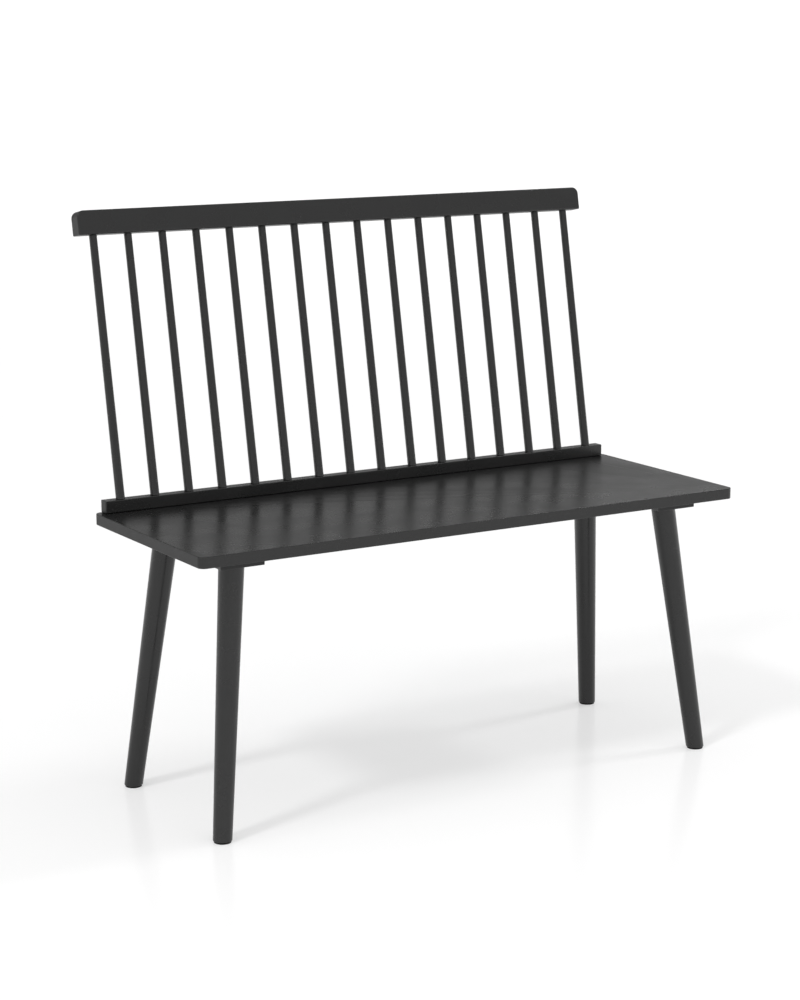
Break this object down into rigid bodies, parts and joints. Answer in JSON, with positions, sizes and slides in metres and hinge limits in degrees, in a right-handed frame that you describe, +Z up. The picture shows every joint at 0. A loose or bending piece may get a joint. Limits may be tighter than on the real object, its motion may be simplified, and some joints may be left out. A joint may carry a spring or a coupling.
{
  "type": "windsor bench",
  "caption": "Windsor bench: flat rectangular seat on splayed tapered legs, with a raked back of straight round spindles between its rails, all in charcoal paint.",
  "frame": {"origin": "on the floor, under the middle of the bench's outer box", "axes": "+Z up, +X along the bench to the right of someone facing it, +Y towards the back, so the front faces -Y"},
  "size_m": [1, 0.4664, 0.9307],
  "materials": {
    "charcoal_painted_wood": "satin charcoal paint on solid wood",
    "zinc_plated_steel": "bright zinc plating",
    "black_nylon": "moulded matte nylon"
  },
  "bodies": {
    "root": {"seat_panel": "charcoal_painted_wood", "batten_left": "charcoal_painted_wood", "batten_right": "charcoal_painted_wood", "lower_rail": "charcoal_painted_wood", "crest_rail": "charcoal_painted_wood", "spindle_01": "charcoal_painted_wood", "spindle_02": "charcoal_painted_wood", "spindle_03": "charcoal_painted_wood", "spindle_04": "charcoal_painted_wood", "spindle_05": "charcoal_painted_wood", "spindle_06": "charcoal_painted_wood", "spindle_07": "charcoal_painted_wood", "spindle_08": "charcoal_painted_wood", "spindle_09": "charcoal_painted_wood", "spindle_10": "charcoal_painted_wood", "spindle_11": "charcoal_painted_wood", "spindle_12": "charcoal_painted_wood", "spindle_13": "charcoal_painted_wood", "spindle_14": "charcoal_painted_wood", "spindle_15": "charcoal_painted_wood", "spindle_16": "charcoal_painted_wood", "leg_front_left": "charcoal_painted_wood", "leg_front_right": "charcoal_painted_wood", "leg_rear_left": "charcoal_painted_wood", "leg_rear_right": "charcoal_painted_wood", "hanger_bolt_front_left": "zinc_plated_steel", "hanger_bolt_front_right": "zinc_plated_steel", "hanger_bolt_rear_left": "zinc_plated_steel", "hanger_bolt_rear_right": "zinc_plated_steel", "threaded_insert_front_left": "zinc_plated_steel", "threaded_insert_front_right": "zinc_plated_steel", "threaded_insert_rear_left": "zinc_plated_steel", "threaded_insert_rear_right": "zinc_plated_steel", "batten_screw_left_1": "zinc_plated_steel", "batten_screw_left_2": "zinc_plated_steel", "batten_screw_left_3": "zinc_plated_steel", "batten_screw_left_4": "zinc_plated_steel", "batten_screw_right_1": "zinc_plated_steel", "batten_screw_right_2": "zinc_plated_steel", "batten_screw_right_3": "zinc_plated_steel", "batten_screw_right_4": "zinc_plated_steel", "rail_screw_1": "zinc_plated_steel", "rail_screw_2": "zinc_plated_steel", "rail_screw_3": "zinc_plated_steel", "rail_screw_4": "zinc_plated_steel", "rail_screw_5": "zinc_plated_steel", "rail_screw_6": "zinc_plated_steel", "rail_screw_7": "zinc_plated_steel", "rail_screw_8": "zinc_plated_steel", "foot_glide_front_left": "black_nylon", "foot_glide_front_right": "black_nylon", "foot_glide_rear_left": "black_nylon", "foot_glide_rear_right": "black_nylon"}
  },
  "joints": []
}
